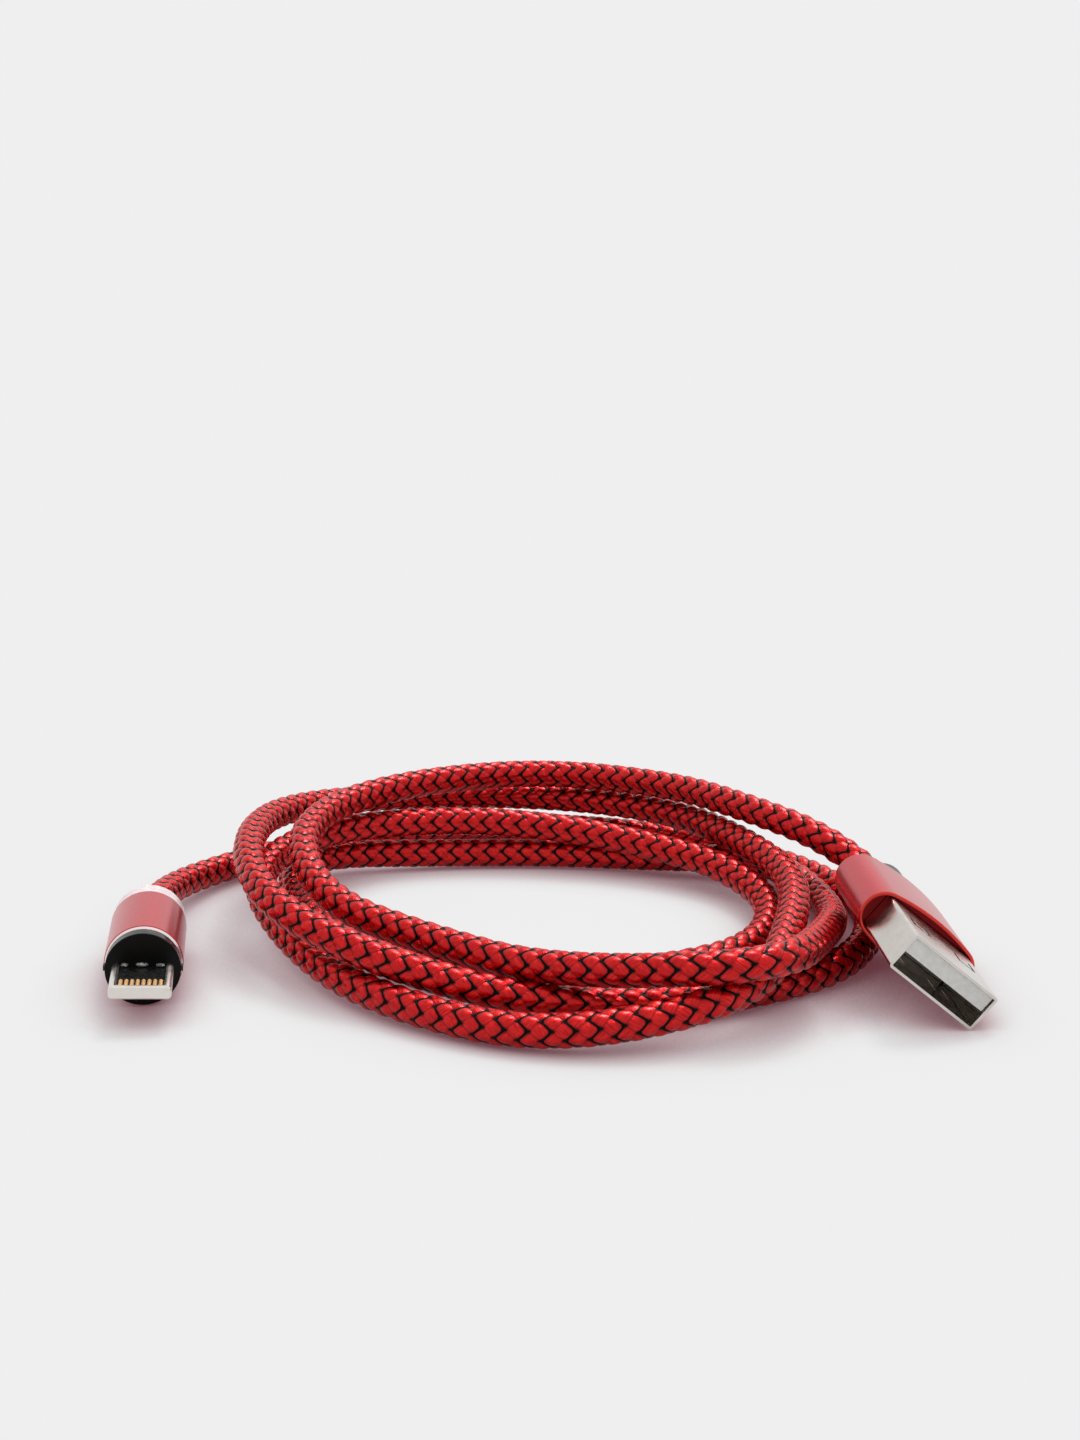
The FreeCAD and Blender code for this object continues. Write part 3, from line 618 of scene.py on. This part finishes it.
dress(disc_look.material, "tip_disc")
dress(carrier_black, "tip_carrier", "tip_backing")
dress(pad_look.material, "tip_pads_top", "tip_pads_bottom")
dress(board_green, "tip_board")
dress(gold, "tip_stud")

# Phone tip, its glue: three beads of clear glue, run in by hand where the frame stands on the
# disc. Each bead has its place to the side and up in the tip's own frame, and then its half
# sizes along, across and up, in millimetres.
GLUE_BEADS = (
    (2.0, 0.55, 0.35, 0.45, 0.2),
    (0.1, 0.6, 0.3, 0.7, 0.22),
    (-1.9, 0.55, 0.35, 0.5, 0.2),
)
GLUE_BEHIND_NOSE = 7.2
GLUE_DARK = (0.05, 0.05, 0.045)
GLUE_LIGHT = (0.55, 0.53, 0.50)
HEAD_TURN = 98.5
TIP_ROLL = 3.2

in_tip = (
    Matrix.Scale(MM, 4)
    @ Matrix.Translation(HEAD_NOSE)
    @ Matrix.Rotation(radians(HEAD_TURN), 4, "Z")
    @ Matrix.Rotation(radians(TIP_ROLL), 4, "X")
)
poles_along = Matrix.Rotation(radians(90), 4, "Y")
beads = bmesh.new()
for side, up, *half_sizes in GLUE_BEADS:
    squash = Matrix.Diagonal((*half_sizes, 1.0))
    lie = in_tip @ Matrix.Translation((GLUE_BEHIND_NOSE, side, up)) @ squash @ poles_along
    bmesh.ops.create_uvsphere(beads, u_segments=32, v_segments=16, radius=1.0, matrix=lie)
for face in beads.faces:
    face.smooth = True
glue_mesh = bpy.data.meshes.new("tip_glue")
beads.to_mesh(glue_mesh)
beads.free()
glue_look = Look("clear_glue")
glue_cloud = glue_look.noise(glue_look.place(), 5.0, 3.0)
glue_look.set(
    Base_Color=glue_look.mix(glue_cloud.step(0.4, 0.6), GLUE_DARK, GLUE_LIGHT),
    Roughness=0.12,
    Coat_Weight=0.8,
    Coat_Roughness=0.05,
)
glue_mesh.materials.append(glue_look.material)
glue = bpy.data.objects.new("tip_glue", glue_mesh)
scene.collection.objects.link(glue)
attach(glue, "tip")

# Floor and background: one plain pale grey, with no line between them. Where the cable lies close,
# the floor is darkened with painted shade, tinted the cord's red, and its shade is lifted for the
# rays that show the background, as a bright white table would be.
PALE = (0.863, 0.863, 0.863)
FLOOR = (0.5453, 0.5453, 0.5453)
FLOOR_CORNERS = ((-3, -2, 0), (3, -2, 0), (3, 6, 0), (-3, 6, 0))
HALF_SHADE = (0.60, 0.44, 0.47)
DEEP_SHADE = (0.16, 0.035, 0.05)
SHADE_REACH = 0.010
SHADE_SAMPLES = 8
SHADOW_LIFT = 0.8


def shows_background(tree):
    """One for the rays that show the background: the camera's own, off metal or through glass."""
    rays = tree.node("LightPath").outputs
    shown = Value(tree, rays["Is Camera Ray"]).math("MAXIMUM", rays["Is Glossy Ray"])
    return shown.math("MAXIMUM", rays["Is Transmission Ray"])


floor_look = Look("floor")
shade = floor_look.node("AmbientOcclusion", samples=SHADE_SAMPLES)
shade.inputs["Distance"].default_value = SHADE_REACH
openness = Value(floor_look, shade.outputs["AO"])
in_shade = floor_look.mix(openness.step(0.0, 0.55), DEEP_SHADE, HALF_SHADE)
cast = floor_look.mix(openness.step(0.4, 0.95), in_shade, (1.0, 1.0, 1.0))
ground, dimmed, lifted = (
    floor_look.node("VectorMath", cast, colour, operation="MULTIPLY").outputs[0]
    for colour in (
        FLOOR,
        [(1.0 - SHADOW_LIFT) * part for part in FLOOR],
        [SHADOW_LIFT * part for part in PALE],
    )
)
shown = shows_background(floor_look)
floor_look.set(
    Base_Color=floor_look.mix(shown, ground, dimmed),
    Roughness=0.9,
    Specular_IOR_Level=0.0,
    Emission_Color=floor_look.mix(shown, (0.0, 0.0, 0.0), lifted),
    Emission_Strength=1.0,
)
floor_mesh = bpy.data.meshes.new("floor")
floor_mesh.from_pydata(FLOOR_CORNERS, [], [(0, 1, 2, 3)])
floor_mesh.materials.append(floor_look.material)
floor = bpy.data.objects.new("floor", floor_mesh)
scene.collection.objects.link(floor)

# Light: a bright ceiling and back wall, dim sides and front, and one broad soft light from behind
# and above. The camera, metal and glass see the plain pale background in place of the walls.
KEY_STRENGTH = 2.9
KEY_SPREAD = 20.0
KEY_FROM = (0.2, 0.45, 1.0)
CEILING = 0.85
BACK = 0.7
SIDES = 0.06
BACK_RISE = (-0.1, 0.9)
CEILING_RISE = (0.0, 0.75)

world = bpy.data.worlds.new("studio")
scene.world = world
world.use_nodes = True
sky = Nodes(world.node_tree)
direction = sky.node("SeparateXYZ", sky.node("TexCoord").outputs["Generated"])
walls = Value(sky, direction.outputs[1]).step(*BACK_RISE, SIDES, BACK)
glow = Value(sky, direction.outputs[2]).step(*CEILING_RISE, walls, CEILING)
lit = sky.tree.nodes["Background"]
sky.feed(lit.inputs["Color"], (1.0, 1.0, 1.0))
sky.feed(lit.inputs["Strength"], glow)
seen = sky.node("Background", PALE)
choice = sky.node("MixShader", shows_background(sky), lit.outputs[0], seen.outputs[0])
sky.feed(sky.tree.nodes["World Output"].inputs["Surface"], choice.outputs[0])

key_data = bpy.data.lights.new("key", "SUN")
key_data.energy = KEY_STRENGTH
key_data.angle = radians(KEY_SPREAD)
key = bpy.data.objects.new("key", key_data)
key.rotation_euler = Vector(KEY_FROM).to_track_quat("Z", "Y").to_euler()
scene.collection.objects.link(key)

scene.view_settings.view_transform = "Standard"
